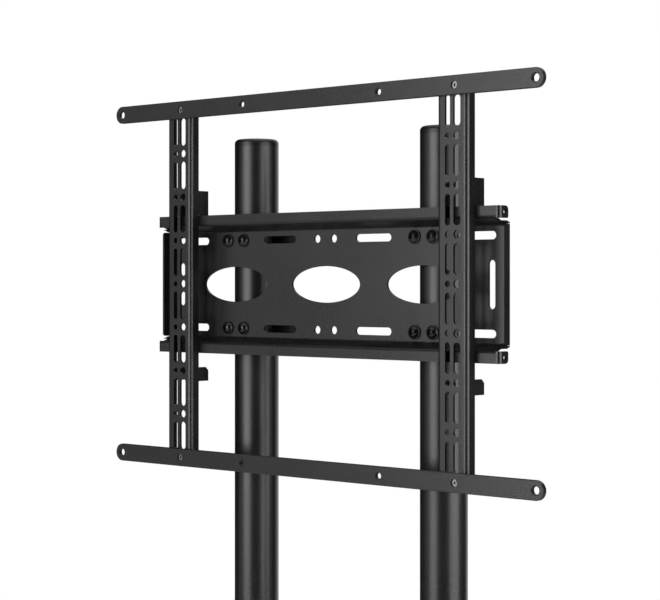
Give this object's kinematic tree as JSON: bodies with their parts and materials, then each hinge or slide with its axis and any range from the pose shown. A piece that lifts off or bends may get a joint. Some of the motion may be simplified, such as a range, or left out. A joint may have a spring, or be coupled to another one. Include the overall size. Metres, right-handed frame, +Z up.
{
  "type": "tv stand with mount",
  "caption": "Free-standing floor stand: a screen frame of bars and slotted arms hangs on a lipped plate, clamped at a chosen height on twin round poles above a flat base.",
  "frame": {"origin": "centre of the base plate, on the floor", "axes": "+Z up, -Y toward the viewer of the screen, +X to that viewer's right"},
  "size_m": [0.82, 0.58, 1.585],
  "materials": {
    "powder_coat": "fine textured black powder coat",
    "black_screws": "black oxide",
    "zinc": "bright zinc plating",
    "cap_plastic": "glossy black",
    "foot_plastic": "matt black"
  },
  "bodies": {
    "stand": {"base_plate": "powder_coat", "foot_bushes": "zinc", "left_socket": "powder_coat", "right_socket": "powder_coat", "socket_bolts": "black_screws", "socket_set_screws": "black_screws", "left_pole": "powder_coat", "right_pole": "powder_coat", "left_pole_cap": "cap_plastic", "right_pole_cap": "cap_plastic"},
    "mount_carriage": {"upper_left_collar": "powder_coat", "upper_right_collar": "powder_coat", "lower_left_collar": "powder_coat", "lower_right_collar": "powder_coat", "collar_clamp_screws": "black_screws", "collar_clamp_nuts": "zinc", "mount_plate": "powder_coat", "plate_bolts": "black_screws", "plate_washers": "black_screws"},
    "screen_frame": {"left_arm": "powder_coat", "right_arm": "powder_coat", "top_bar": "powder_coat", "bottom_bar": "powder_coat", "bar_screws": "zinc", "bar_nuts": "zinc"},
    "front_left_foot": {"foot_stud_front_left": "zinc", "foot_pad_front_left": "foot_plastic"},
    "front_right_foot": {"foot_stud_front_right": "zinc", "foot_pad_front_right": "foot_plastic"},
    "rear_left_foot": {"foot_stud_rear_left": "zinc", "foot_pad_rear_left": "foot_plastic"},
    "rear_right_foot": {"foot_stud_rear_right": "zinc", "foot_pad_rear_right": "foot_plastic"}
  },
  "joints": [
    {"name": "mount_height", "type": "slide", "parent": "stand", "child": "mount_carriage", "axis": [0, 0, 1], "range_m": [-0.9, 0.08]},
    {"name": "screen_shift", "type": "slide", "parent": "mount_carriage", "child": "screen_frame", "axis": [1, 0, 0], "range_m": [-0.0255, 0.0255]},
    {"name": "front_left_level", "type": "slide", "parent": "stand", "child": "front_left_foot", "axis": [0, 0, -1], "range_m": [0, 0.01]},
    {"name": "front_right_level", "type": "slide", "parent": "stand", "child": "front_right_foot", "axis": [0, 0, -1], "range_m": [0, 0.01]},
    {"name": "rear_left_level", "type": "slide", "parent": "stand", "child": "rear_left_foot", "axis": [0, 0, -1], "range_m": [0, 0.01]},
    {"name": "rear_right_level", "type": "slide", "parent": "stand", "child": "rear_right_foot", "axis": [0, 0, -1], "range_m": [0, 0.01]}
  ]
}
